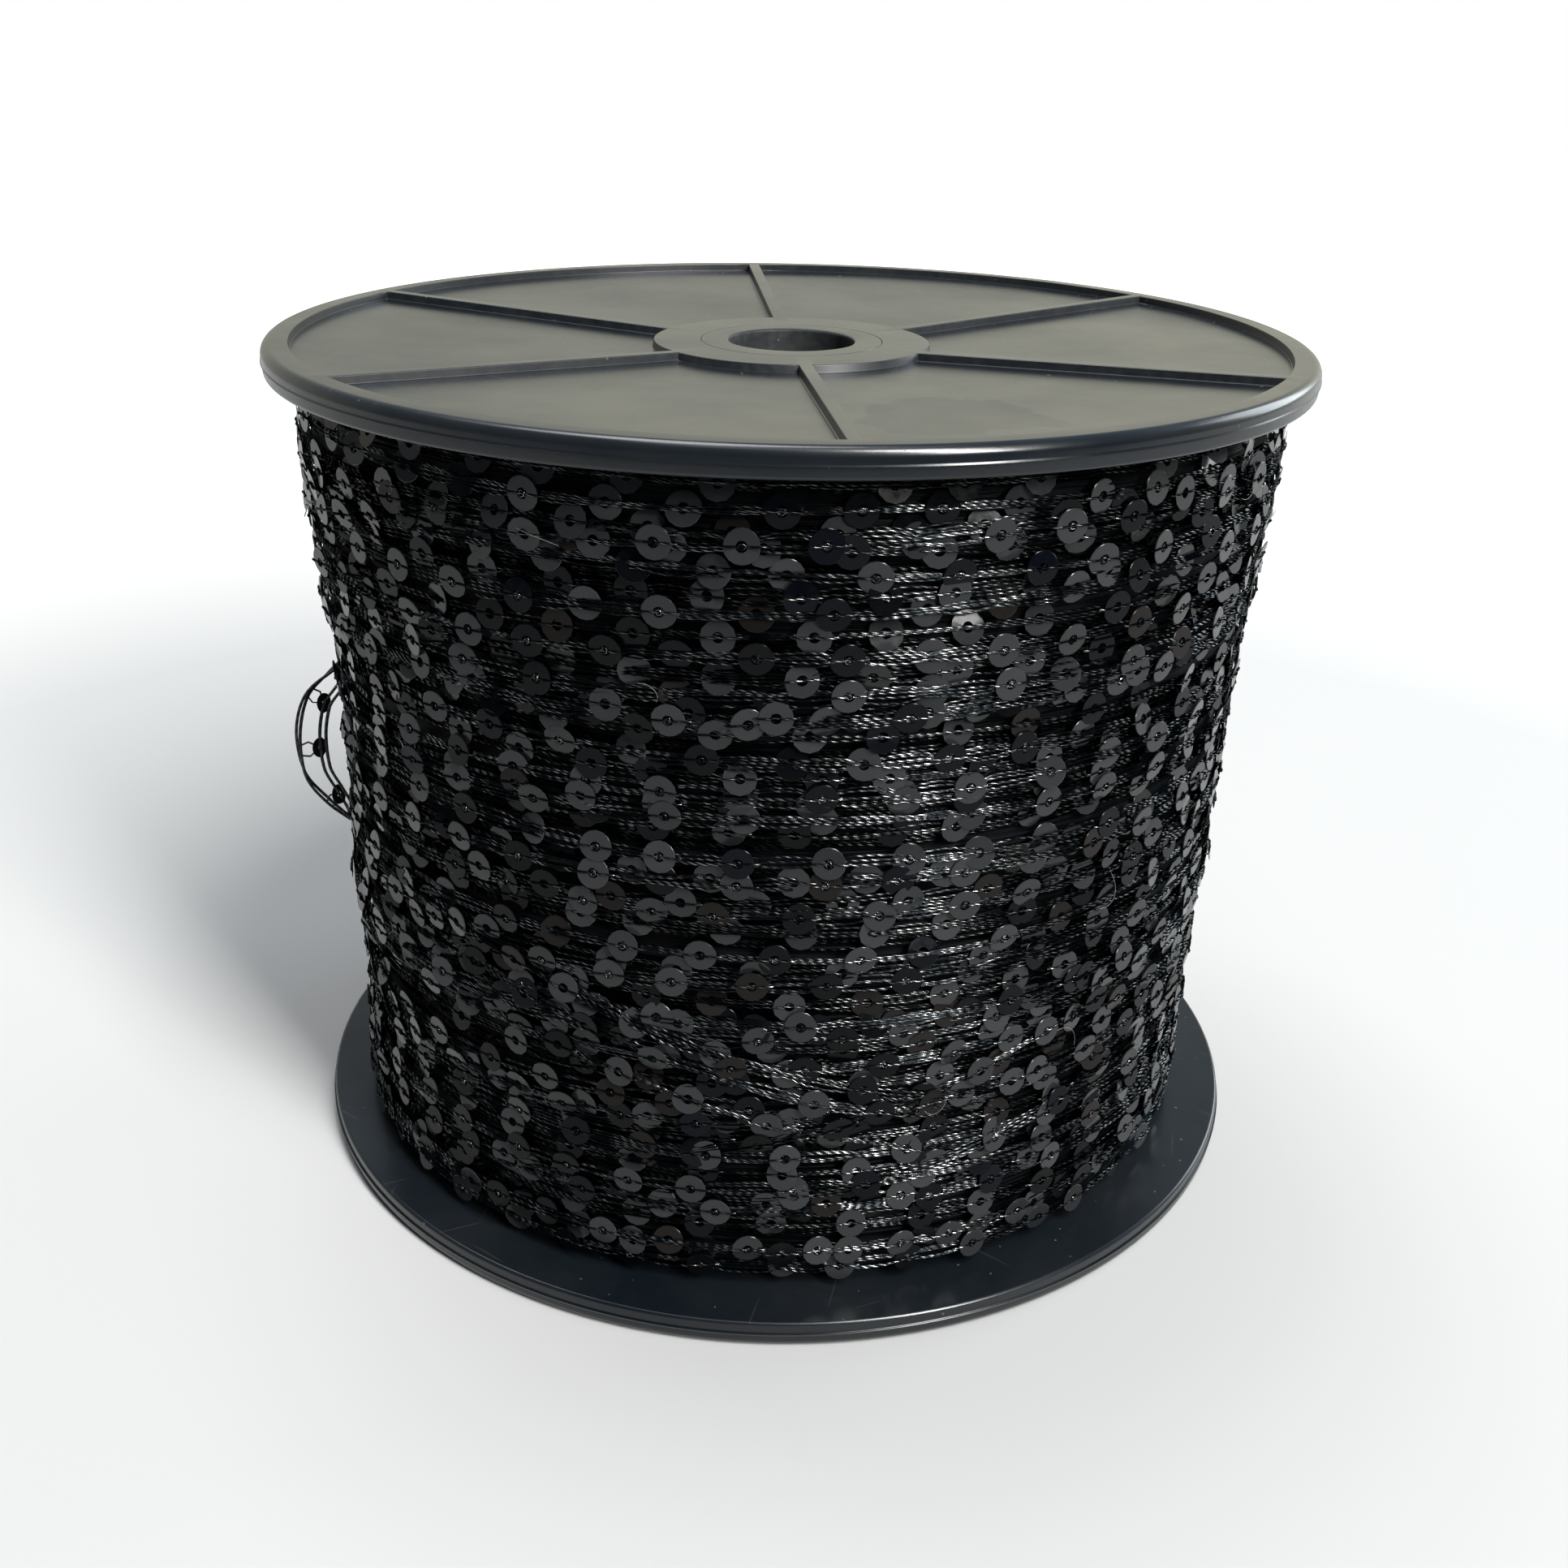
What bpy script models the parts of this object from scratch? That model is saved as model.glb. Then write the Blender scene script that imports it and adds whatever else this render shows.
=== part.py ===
"""Sequin yarn wound on a flanged plastic reel, with one slack loop of yarn.

Metres, +Z up. The origin is on the reel's axis, at the plane that the lower rim stands on.
The reel is two dished, ribbed flanges on a core tube. The yarn is one wound body between
the flanges, fuller at the top than at the foot, and a short slack loop on its left side.
"""

import math
from typing import NamedTuple

import bmesh
import bpy
from mathutils import Vector

# Reel
FLANGE_RADIUS = 0.0675
REEL_HEIGHT = 0.1106
RIM_HEIGHT = 0.0035
RIM_LAND = 0.0035
RIM_ROUNDING = 0.0010
LIP_ROUNDING = 0.0005
LIP_INSET = 0.0002
LIP_HEIGHT = 0.0015
DISH = 0.0013
POCKET_DEPTH = 0.0010
RIB_COUNT = 6
RIB_WIDTH = 0.0017
FRONT_RIB_AZIMUTH = math.radians(-84.2)
BOSS_RADIUS = 0.0181
CORE_OUTER_RADIUS = 0.0119
BORE_RADIUS = 0.00825
BORE_CHAMFER = 0.0004
GAP = 0.0003

# Steps round the axis
FLANGE_STEPS = 72
POCKET_STEPS = 10
RIM_ROUNDING_STEPS = 3
CORE_STEPS = 48
WINDING_STEPS = 72
WINDING_ROWS = 42

# Yarn
BAND_PITCH = 0.0100
BAND_DEPTH = 0.00022
LUMP_DEPTH = 0.00018
SHOULDER = 0.0011
FULLER_SIDE = math.radians(-150.0)
LOOP_DIAMETER = 0.0010
LOOP_POINTS_PER_STRETCH = 4


class Section(NamedTuple):
    """One level of the winding."""

    height: float
    radius: float
    lean: float


class LoopPoint(NamedTuple):
    """One point that the slack loop passes, in polar form round the reel's axis."""

    azimuth: float
    radius: float
    height: float


# Heights and radii in metres. The lean is how much further out the fuller side is.
WINDING_SECTIONS = (
    Section(height=0.0038, radius=0.0606, lean=0.0010),
    Section(height=0.0130, radius=0.0607, lean=0.0008),
    Section(height=0.0220, radius=0.0602, lean=0.0006),
    Section(height=0.0320, radius=0.0606, lean=0.0006),
    Section(height=0.0410, radius=0.0610, lean=0.0004),
    Section(height=0.0505, radius=0.0611, lean=0.0002),
    Section(height=0.0600, radius=0.0614, lean=0.0000),
    Section(height=0.0695, radius=0.0617, lean=0.0000),
    Section(height=0.0790, radius=0.0624, lean=0.0000),
    Section(height=0.0880, radius=0.0632, lean=0.0000),
    Section(height=0.0975, radius=0.0638, lean=0.0000),
    Section(height=0.1068, radius=0.0638, lean=0.0000),
)

# The first and last points lie just off the winding, where the loop leaves and rejoins it.
LOOP_ROUTE = (
    LoopPoint(azimuth=-179.0, radius=0.06225, height=0.0637),
    LoopPoint(azimuth=-175.0, radius=0.06395, height=0.0631),
    LoopPoint(azimuth=-171.2, radius=0.06655, height=0.0614),
    LoopPoint(azimuth=-169.0, radius=0.06780, height=0.0570),
    LoopPoint(azimuth=-168.4, radius=0.06730, height=0.0512),
    LoopPoint(azimuth=-169.2, radius=0.06490, height=0.0468),
    LoopPoint(azimuth=-171.4, radius=0.06200, height=0.0424),
)

PLASTIC_COLOUR = (0.018, 0.019, 0.020, 1.0)
SEQUIN_COLOUR = (0.012, 0.012, 0.014, 1.0)
THREAD_COLOUR = (0.015, 0.015, 0.017, 1.0)


def clear_scene():
    for item in list(bpy.data.objects):
        bpy.data.objects.remove(item, do_unlink=True)


def material(name, colour, roughness, metallic=0.0):
    made = bpy.data.materials.new(name)
    made.use_nodes = True
    shader = made.node_tree.nodes["Principled BSDF"]
    shader.inputs["Base Color"].default_value = colour
    shader.inputs["Roughness"].default_value = roughness
    shader.inputs["Metallic"].default_value = metallic
    return made


def add_object(name, data, finish):
    made = bpy.data.objects.new(name, data)
    made.data.materials.append(finish)
    bpy.context.scene.collection.objects.link(made)
    return made


def turned_mesh(name, profile, steps):
    """A closed ring round Z. The profile is a closed outline of (radius, height) points."""
    shape = bmesh.new()
    points = [shape.verts.new((radius, 0.0, height)) for radius, height in profile]
    edges = [shape.edges.new((points[i - 1], points[i])) for i in range(len(points))]
    bmesh.ops.spin(
        shape,
        geom=points + edges,
        cent=(0.0, 0.0, 0.0),
        axis=(0.0, 0.0, 1.0),
        angle=2.0 * math.pi,
        steps=steps,
        use_merge=True,
    )
    bmesh.ops.remove_doubles(shape, verts=shape.verts, dist=1e-6)
    bmesh.ops.recalc_face_normals(shape, faces=shape.faces)
    mesh = bpy.data.meshes.new(name)
    shape.to_mesh(mesh)
    shape.free()
    return mesh


def shade_round(made, angle_degrees=35.0):
    made.data.shade_smooth()
    made.data.set_sharp_from_angle(angle=math.radians(angle_degrees))


def dish_drop(radius):
    """How far a flange lies below its rim at this radius, because the wound yarn pushes the rim out."""
    inner = FLANGE_RADIUS - RIM_LAND
    share = (inner - radius) / (inner - BOSS_RADIUS)
    return DISH * min(1.0, max(0.0, share))


def rounded_corner(radius, height, rounding):
    """Points up and in round the rim's outer corner, which would be at this radius and height."""
    turns = [0.5 * math.pi * step / RIM_ROUNDING_STEPS for step in range(RIM_ROUNDING_STEPS + 1)]
    return [
        (radius - rounding * (1.0 - math.cos(turn)), height - rounding * (1.0 - math.sin(turn)))
        for turn in turns
    ]


def flange_profile():
    """The flange's outline with its outer face up: its rim's inner face lies at height 0."""
    hole = CORE_OUTER_RADIUS + GAP
    rim_inner = FLANGE_RADIUS - RIM_LAND
    lip = FLANGE_RADIUS - LIP_INSET
    return (
        (hole, -DISH),
        (BOSS_RADIUS, -DISH),
        (rim_inner, 0.0),
        (lip - LIP_ROUNDING, 0.0),
        (lip, LIP_ROUNDING),
        (lip, LIP_HEIGHT),
        (FLANGE_RADIUS, LIP_HEIGHT + LIP_INSET),
        *rounded_corner(FLANGE_RADIUS, RIM_HEIGHT, RIM_ROUNDING),
        (rim_inner, RIM_HEIGHT),
        (BOSS_RADIUS, RIM_HEIGHT - DISH),
        (hole, RIM_HEIGHT - DISH),
    )


def pocket_cutter(index):
    """The space between two ribs, from the boss to the rim, with a floor that follows the dish."""
    first_rib = FRONT_RIB_AZIMUTH + index * 2.0 * math.pi / RIB_COUNT
    last_rib = first_rib + 2.0 * math.pi / RIB_COUNT
    shape = bmesh.new()
    arcs = []
    for radius in (BOSS_RADIUS, FLANGE_RADIUS - RIM_LAND):
        clear_of_rib = math.asin(0.5 * RIB_WIDTH / radius)
        start, end = first_rib + clear_of_rib, last_rib - clear_of_rib
        floor = RIM_HEIGHT - dish_drop(radius) - POCKET_DEPTH
        turns = [start + (end - start) * i / POCKET_STEPS for i in range(POCKET_STEPS + 1)]
        arcs.append([
            shape.verts.new((radius * math.cos(turn), radius * math.sin(turn), floor))
            for turn in turns
        ])
    inner, outer = arcs
    floor_faces = [
        shape.faces.new((inner[i], outer[i], outer[i + 1], inner[i + 1]))
        for i in range(POCKET_STEPS)
    ]
    raised = bmesh.ops.extrude_face_region(shape, geom=floor_faces)
    lids = [item for item in raised["geom"] if isinstance(item, bmesh.types.BMVert)]
    for corner in lids:
        corner.co.z = 2.0 * RIM_HEIGHT
    bmesh.ops.recalc_face_normals(shape, faces=shape.faces)
    mesh = bpy.data.meshes.new(f"pocket_{index}")
    shape.to_mesh(mesh)
    shape.free()
    cutter = bpy.data.objects.new(f"pocket_{index}", mesh)
    bpy.context.scene.collection.objects.link(cutter)
    cutter.hide_render = True
    cutter.display_type = "WIRE"
    return cutter


def cut_flange_mesh(finish):
    """One flange with its six pockets cut, as a mesh that both flanges use."""
    blank = add_object("flange_blank", turned_mesh("flange", flange_profile(), FLANGE_STEPS), finish)
    cutters = [pocket_cutter(index) for index in range(RIB_COUNT)]
    for cutter in cutters:
        cut = blank.modifiers.new(cutter.name, "BOOLEAN")
        cut.operation = "DIFFERENCE"
        cut.solver = "EXACT"
        cut.object = cutter
    graph = bpy.context.evaluated_depsgraph_get()
    mesh = bpy.data.meshes.new_from_object(blank.evaluated_get(graph))
    for helper in cutters + [blank]:
        bpy.data.objects.remove(helper, do_unlink=True)
    return mesh


def add_flanges(finish):
    mesh = cut_flange_mesh(finish)
    mesh.name = "reel_flange"
    top = bpy.data.objects.new("flange_top", mesh)
    bottom = bpy.data.objects.new("flange_bottom", mesh)
    for flange in (top, bottom):
        bpy.context.scene.collection.objects.link(flange)
    top.location.z = REEL_HEIGHT - RIM_HEIGHT
    bottom.location.z = RIM_HEIGHT
    bottom.rotation_euler.x = math.pi
    shade_round(top)


def add_core(finish):
    foot = DISH
    head = REEL_HEIGHT - DISH
    profile = (
        (BORE_RADIUS + BORE_CHAMFER, foot),
        (CORE_OUTER_RADIUS, foot),
        (CORE_OUTER_RADIUS, head),
        (BORE_RADIUS + BORE_CHAMFER, head),
        (BORE_RADIUS, head - BORE_CHAMFER),
        (BORE_RADIUS, foot + BORE_CHAMFER),
    )
    shade_round(add_object("core_tube", turned_mesh("core_tube", profile, CORE_STEPS), finish))


def smooth_step(share):
    return share * share * (3.0 - 2.0 * share)


def section_at(height):
    """The winding's radius and lean at a height, eased between the listed sections."""
    for low, high in zip(WINDING_SECTIONS, WINDING_SECTIONS[1:]):
        if height <= high.height:
            share = max(0.0, (height - low.height) / (high.height - low.height))
            eased = smooth_step(share)
            radius = low.radius + (high.radius - low.radius) * eased
            return radius, low.lean + (high.lean - low.lean) * eased
    return WINDING_SECTIONS[-1].radius, WINDING_SECTIONS[-1].lean


def winding_radius(azimuth, height):
    """The wound surface: the sections, the lean, helical bands of turns and slow lumps."""
    radius, lean = section_at(height)
    radius += lean * math.cos(azimuth - FULLER_SIDE)
    radius += BAND_DEPTH * math.sin(2.0 * math.pi * height / BAND_PITCH - azimuth)
    lump = math.sin(3.0 * azimuth + 70.0 * height) + math.sin(5.0 * azimuth - 110.0 * height + 1.0)
    return radius + 0.5 * LUMP_DEPTH * lump


def winding_height(row):
    """Row heights are closer together at the two shoulders than between them."""
    low, high = WINDING_SECTIONS[0].height, WINDING_SECTIONS[-1].height
    inner_rows = WINDING_ROWS - 3
    if row == 0:
        return low
    if row == WINDING_ROWS - 1:
        return high
    return low + SHOULDER + (high - low - 2.0 * SHOULDER) * (row - 1) / inner_rows


def add_winding(finish):
    """One ring of wound yarn: an uneven outer side, two conical ends and a plain hole for the core."""
    shape = bmesh.new()
    hole = CORE_OUTER_RADIUS + GAP
    rings = []
    for row in range(WINDING_ROWS):
        height = winding_height(row)
        at_shoulder = row in (0, WINDING_ROWS - 1)
        ring = []
        for step in range(WINDING_STEPS):
            azimuth = 2.0 * math.pi * step / WINDING_STEPS
            radius = winding_radius(azimuth, height) - (SHOULDER if at_shoulder else 0.0)
            ring.append(shape.verts.new((
                radius * math.cos(azimuth),
                radius * math.sin(azimuth),
                height,
            )))
        rings.append(ring)
    low_end = RIM_HEIGHT + DISH + GAP
    high_end = REEL_HEIGHT - RIM_HEIGHT - DISH - GAP
    for radius, height in (
        (BOSS_RADIUS, high_end),
        (hole, high_end),
        (hole, low_end),
        (BOSS_RADIUS, low_end),
    ):
        rings.append([
            shape.verts.new((
                radius * math.cos(2.0 * math.pi * step / WINDING_STEPS),
                radius * math.sin(2.0 * math.pi * step / WINDING_STEPS),
                height,
            ))
            for step in range(WINDING_STEPS)
        ])
    for index, ring in enumerate(rings):
        above = rings[(index + 1) % len(rings)]
        for step in range(WINDING_STEPS):
            after = (step + 1) % WINDING_STEPS
            shape.faces.new((ring[step], ring[after], above[after], above[step]))
    bmesh.ops.recalc_face_normals(shape, faces=shape.faces)
    mesh = bpy.data.meshes.new("sequin_winding")
    shape.to_mesh(mesh)
    shape.free()
    shade_round(add_object("sequin_winding", mesh, finish), 60.0)


def loop_corner(point):
    turn = math.radians(point.azimuth)
    return Vector((point.radius * math.cos(turn), point.radius * math.sin(turn), point.height))


def smooth_route(corners, points_per_stretch):
    """Points on a Catmull-Rom curve through the corners."""
    ends = [2.0 * corners[0] - corners[1]] + corners + [2.0 * corners[-1] - corners[-2]]
    route = []
    for before, start, end, after in zip(ends, ends[1:], ends[2:], ends[3:]):
        for step in range(points_per_stretch):
            t = step / points_per_stretch
            route.append(0.5 * (
                2.0 * start
                + (end - before) * t
                + (2.0 * before - 5.0 * start + 4.0 * end - after) * t * t
                + (3.0 * start - before - 3.0 * end + after) * t * t * t
            ))
    route.append(corners[-1])
    return route


def add_loop(finish):
    """The slack loop of yarn, as one plain tube of the yarn's own thickness."""
    route = smooth_route([loop_corner(point) for point in LOOP_ROUTE], LOOP_POINTS_PER_STRETCH)
    line = bpy.data.curves.new("loose_loop", "CURVE")
    line.dimensions = "3D"
    spline = line.splines.new("POLY")
    spline.points.add(len(route) - 1)
    for point, place in zip(spline.points, route):
        point.co = (*place, 1.0)
    line.bevel_depth = 0.5 * LOOP_DIAMETER
    line.bevel_resolution = 2
    line.use_fill_caps = True
    add_object("loose_loop", line, finish)


def main():
    clear_scene()
    plastic = material("black_plastic", PLASTIC_COLOUR, 0.32)
    sequins = material("black_sequins", SEQUIN_COLOUR, 0.18)
    thread = material("black_thread", THREAD_COLOUR, 0.35)
    add_flanges(plastic)
    add_core(plastic)
    add_winding(sequins)
    add_loop(thread)


main()
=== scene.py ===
"""Looks of a reel of black sequin yarn: moulded reel, threads, sequins, slack loop and studio.

All sizes are in metres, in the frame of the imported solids. The reel's axis is Z.
"""

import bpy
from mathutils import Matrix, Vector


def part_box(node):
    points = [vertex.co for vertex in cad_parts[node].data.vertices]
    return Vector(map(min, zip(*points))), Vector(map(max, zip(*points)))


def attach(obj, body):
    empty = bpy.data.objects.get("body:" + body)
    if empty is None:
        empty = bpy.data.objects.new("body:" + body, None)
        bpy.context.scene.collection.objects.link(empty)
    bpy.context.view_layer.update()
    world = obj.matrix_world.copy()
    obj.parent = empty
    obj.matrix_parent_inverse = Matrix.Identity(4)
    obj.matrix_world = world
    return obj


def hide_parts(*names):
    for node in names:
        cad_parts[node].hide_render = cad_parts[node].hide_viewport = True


bl_info = {
    "name": "Sequin Yarn Reel",
    "version": (1, 0, 0),
    "blender": (4, 5, 0),
    "location": "View3D > Sidebar > Sequin Yarn",
    "description": "Dresses a flanged reel of black sequin yarn, with a slack loop at one side",
    "category": "Object",
}

import math
from typing import NamedTuple

import bmesh
import bpy
import numpy as np
from bpy.props import FloatProperty, FloatVectorProperty, IntProperty, PointerProperty
from bpy.types import Operator, Panel, PropertyGroup
from mathutils import Matrix, Vector
from mathutils.bvhtree import BVHTree

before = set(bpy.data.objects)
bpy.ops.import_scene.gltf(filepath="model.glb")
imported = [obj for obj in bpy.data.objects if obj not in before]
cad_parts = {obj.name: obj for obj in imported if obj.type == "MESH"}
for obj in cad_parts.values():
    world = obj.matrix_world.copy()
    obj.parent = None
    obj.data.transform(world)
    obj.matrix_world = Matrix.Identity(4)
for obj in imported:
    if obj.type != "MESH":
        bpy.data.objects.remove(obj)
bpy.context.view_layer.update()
REEL_BODY = "root"
FULL_TURN = 2.0 * math.pi


# Sizes read from the frame

WINDING_FOOT, WINDING_HEAD = (Vector(corner).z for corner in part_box("sequin_winding"))
CORE_LOW, CORE_HIGH = (Vector(corner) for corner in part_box("core_tube"))
FLANGE_HIGH = Vector(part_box("flange_top")[1])
REEL_HEIGHT = FLANGE_HIGH.z
REEL_RADIUS = FLANGE_HIGH.x
CORE_RADIUS = CORE_HIGH.x


# Fixed design of this reel

RIB_COUNT = 6
COLUMNS_PER_SECTOR = 32
ROUNDING_STEPS = 6
CORE_STEPS = 96
WINDING_STEPS = 192
CROSSING_THREADS = 4
CROSSING_SIDES = 16
CROSSING_STEP_DEGREES = 2.2
CROSSING_SHINE = 0.75
MOST_IN_ONE_PIECE = 500
THREAD_GLOSS = 0.20
THREAD_ROOM = 0.0003
GATHER_SHARE = 0.62
GLOSSY_IOR = 1.31
DULL_IOR = 1.2
STRAY_THICKNESS = 0.00006
SEED = 41


class Layer(NamedTuple):
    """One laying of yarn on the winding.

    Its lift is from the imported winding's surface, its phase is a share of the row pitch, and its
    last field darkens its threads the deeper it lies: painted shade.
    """

    name: str
    lift: float
    threads: int
    steps_per_turn: int
    phase: float
    sequin_sides: int
    knotted: bool
    gloss_and_shade: float


class Crossing(NamedTuple):
    """A stretch of yarn laid across the other turns. Angles are in degrees round the reel."""

    start: float
    sweep: float
    low: float
    high: float


class RoutePoint(NamedTuple):
    """One point of the slack loop, in polar form round the reel's axis."""

    azimuth: float
    radius: float
    height: float


class Softbox(NamedTuple):
    """A rectangular light, whose power is the studio's setting of that name."""

    name: str
    power: str
    place: tuple
    target: tuple
    size: tuple
    tone: tuple


# The last field of each layer darkens its copy of the thread material the deeper it lies: painted
# shade.
LAYERS = (
    Layer("under_turns", -0.00085, 7, 60, 0.25, 0, False, 0.22),
    Layer("middle_turns", -0.00034, 4, 110, 0.5, 12, False, 0.55),
    Layer("outer_turns", -0.00004, 5, 170, 0.0, 16, True, 1.0),
)

CROSSINGS = (
    Crossing(-150.0, 95.0, 0.0500, 0.0290),
    Crossing(-140.0, 80.0, 0.0440, 0.0270),
    Crossing(-128.0, 70.0, 0.0365, 0.0210),
    Crossing(-112.0, 80.0, 0.0220, 0.0400),
    Crossing(-100.0, 90.0, 0.0170, 0.0310),
    Crossing(-20.0, 110.0, 0.0700, 0.0480),
    Crossing(60.0, 90.0, 0.0260, 0.0450),
    Crossing(120.0, 100.0, 0.0520, 0.0330),
    Crossing(150.0, 80.0, 0.0820, 0.0960),
)

# The first and last points lie just off the winding, where the loop leaves and rejoins it.
LOOP_ROUTE = (
    RoutePoint(-179.0, 0.06225, 0.0637),
    RoutePoint(-175.0, 0.06395, 0.0631),
    RoutePoint(-171.2, 0.06655, 0.0614),
    RoutePoint(-169.0, 0.06780, 0.0570),
    RoutePoint(-168.4, 0.06730, 0.0512),
    RoutePoint(-169.2, 0.06490, 0.0468),
    RoutePoint(-171.4, 0.06200, 0.0424),
)

CAMERA_PLACE = Vector((0.0, -0.23119, 0.14829))
CAMERA_FORWARD = Vector((0.0009832, 0.9132452, -0.4074092))
CAMERA_UP = Vector((-0.0208789, 0.4073393, 0.9130382))
REEL_MIDDLE = (0.0, 0.0, 0.5 * REEL_HEIGHT)

SOFTBOXES = (
    Softbox("key", "key_power", (2.7, -3.2, 4.3), REEL_MIDDLE, (1.3, 5.0), (1.0, 1.0, 0.98)),
    Softbox("overhead", "top_power", (0.0, -0.1, 0.85), REEL_MIDDLE, (0.5, 0.5), (0.95, 0.98, 1.0)),
    Softbox("side", "side_power", (2.3, 1.6, 1.1), REEL_MIDDLE, (1.5, 1.5), (0.86, 0.94, 1.0)),
    Softbox("fill", "fill_power", (-0.6, 1.1, 3.2), (0.0, 0.4, 0.0), (1.6, 1.6), (1.0, 1.0, 1.0)),
)


# Sizes and colours that a user may change


def number(name, description, default, **kind):
    return FloatProperty(name=name, description=description, default=default, **kind)


def length(name, description, default):
    return number(name, description, default, min=0.0, precision=5, unit="LENGTH")


def angle(name, description, degrees):
    return number(name, description, math.radians(degrees), subtype="ANGLE")


def factor(name, description, default):
    return number(name, description, default, min=0.0, max=1.0, subtype="FACTOR")


def power(name, description, default):
    return number(name, description, default, unit="POWER")


def colour(name, description, default):
    return FloatVectorProperty(name=name, description=description, default=default, size=3,
                               min=0.0, max=1.0, subtype="COLOR")


class ReelSettings(PropertyGroup):
    """Sizes and finish of the moulded reel"""

    rim_height: length("Rim height", "Height of a flange's rim", 0.0035)
    rim_land: length("Rim land", "Width of the flat ring on a flange's rim", 0.0035)
    rim_rounding: length("Rim rounding", "Radius of the rim's outer corner", 0.0012)
    lip_rounding: length("Lip rounding", "Radius of the rim's inner corner", 0.0005)
    lip_inset: length("Lip inset", "Step at the rim's parting line", 0.00022)
    lip_height: length("Lip height", "Height of the rim's parting line", 0.0015)
    seam: length("Seam", "How far the moulding seam stands proud of the rim", 0.00011)
    dish: length("Dish", "How far a flange's centre lies inside its rim", 0.0013)
    pocket_depth: length("Pocket depth", "Depth of the hollows between the ribs", 0.0010)
    rib_width: length("Rib width", "Width of a radial rib", 0.0017)
    boss_radius: length("Boss radius", "Radius of the flat boss round the bore", 0.0181)
    hole_gap: length("Hole gap", "Gap between the core tube and a flange", 0.00004)
    bore_radius: length("Bore radius", "Radius of the spindle bore", 0.00825)
    bore_chamfer: length("Bore chamfer", "Chamfer at the bore's two mouths", 0.0004)
    edge_softness: length("Edge softness", "Rounding of the moulded edges", 0.00013)
    front_rib: angle("Front rib", "Azimuth of the rib nearest the front", -84.2)
    plastic: colour("Plastic", "Colour of the moulded plastic", (0.0030, 0.0047, 0.0067))
    dust: colour("Dust", "Colour of the dust and scuffs", (0.26, 0.25, 0.22))
    roughness: factor("Roughness", "Roughness of the clean plastic", 0.22)


class YarnSettings(PropertyGroup):
    """Sizes and finish of the yarn"""

    thread: length("Thread", "Diameter of one ground thread", 0.00028)
    thread_gap: length("Thread spacing", "Spacing of the threads of one turn", 0.00034)
    row_pitch: length("Row pitch", "Height between turns of one layer", 0.0041)
    ply_pitch: length("Twist pitch", "Length from one ply's crest to the next", 0.00115)
    sequin_pitch: length("Sequin pitch", "Distance between sequins along the yarn", 0.00878)
    sequin: length("Sequin", "Diameter of a sequin", 0.00385)
    sequin_hole: length("Sequin hole", "Diameter of a sequin's hole", 0.00125)
    sequin_thickness: length("Sequin thickness", "Thickness of a sequin", 0.00010)
    pin_thread: length("Pin thread", "Diameter of the thread that holds a sequin", 0.00024)
    loop_width: length("Loop width", "Width of the slack loop's twisted pair", 0.0010)
    loop_thread: length("Loop thread", "Diameter of a slack thread, which puffs up", 0.00054)
    loop_sequin: length("Loop sequin", "Diameter of the sequins on the slack loop", 0.0028)
    tilt: angle("Tilt", "Spread of the sequins' tilt", 6.5)
    stray_count: IntProperty(name="Stray fibres", description="Number of loose fibres", default=28)
    black: colour("Black thread", "Gloss of the filament threads", (0.270, 0.274, 0.270))
    sequin_black: colour("Black sequin", "Colour of most sequins", (0.0150, 0.0158, 0.0166))
    # The dull, brown and navy colours are painted reflections: the dark and tinted surroundings
    # that tilted sequins mirror, put into their colour.
    sequin_dark_reflection: colour("Dull sequin", "Colour of the dull black sequins", (0.0012, 0.0014, 0.0018))
    sequin_brown_reflection: colour("Brown sequin", "Colour of the brownish sequins", (0.0061, 0.0051, 0.0045))
    sequin_navy_reflection: colour("Navy sequin", "Colour of the bluish sequins", (0.0009, 0.0012, 0.0024))
    loop_grey: colour("Slack thread", "Colour of the slack loop's threads", (0.060, 0.060, 0.058))
    lint: colour("Lint", "Colour of the loose fibres", (0.20, 0.20, 0.195))


class StudioSettings(PropertyGroup):
    """Camera, floor and light"""

    lens: number("Lens", "Focal length", 39.559, unit="CAMERA")
    floor: colour("Floor", "Colour of the pale floor", (0.33, 0.33, 0.33))
    key_power: power("Key power", "Power of the tall key light", 1000.0)
    top_power: power("Top power", "Power of the light overhead", 1.4)
    fill_power: power("Fill power", "Power of the light behind the reel", 70.0)
    side_power: power("Side power", "Power of the light at the right", 40.0)
    back_glow: number("Back glow", "Brightness behind the reel", 0.92)
    front_glow: number("Front glow", "Brightness before the reel", 0.09)


# Small mesh helpers


def linked(name, data):
    """A new object in the scene."""
    made = bpy.data.objects.new(name, data)
    bpy.context.scene.collection.objects.link(made)
    return made


def polar(point):
    """A point's azimuth and its distance from the reel's axis."""
    return math.atan2(point.y, point.x), math.hypot(point.x, point.y)


def add_piece(name, mesh, material):
    """Link a finished mesh that lies in its place, and let it ride with the reel."""
    mesh.name = name
    mesh.materials.clear()
    mesh.materials.append(material)
    piece = linked(name, mesh)
    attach(piece, REEL_BODY)
    return piece


def finished_mesh(shape, sharp_degrees=38.0):
    """Turn a bmesh into a mesh with smooth faces and sharp corners."""
    mesh = bpy.data.meshes.new("shape")
    shape.to_mesh(mesh)
    shape.free()
    mesh.shade_smooth()
    mesh.set_sharp_from_angle(angle=math.radians(sharp_degrees))
    return mesh


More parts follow.
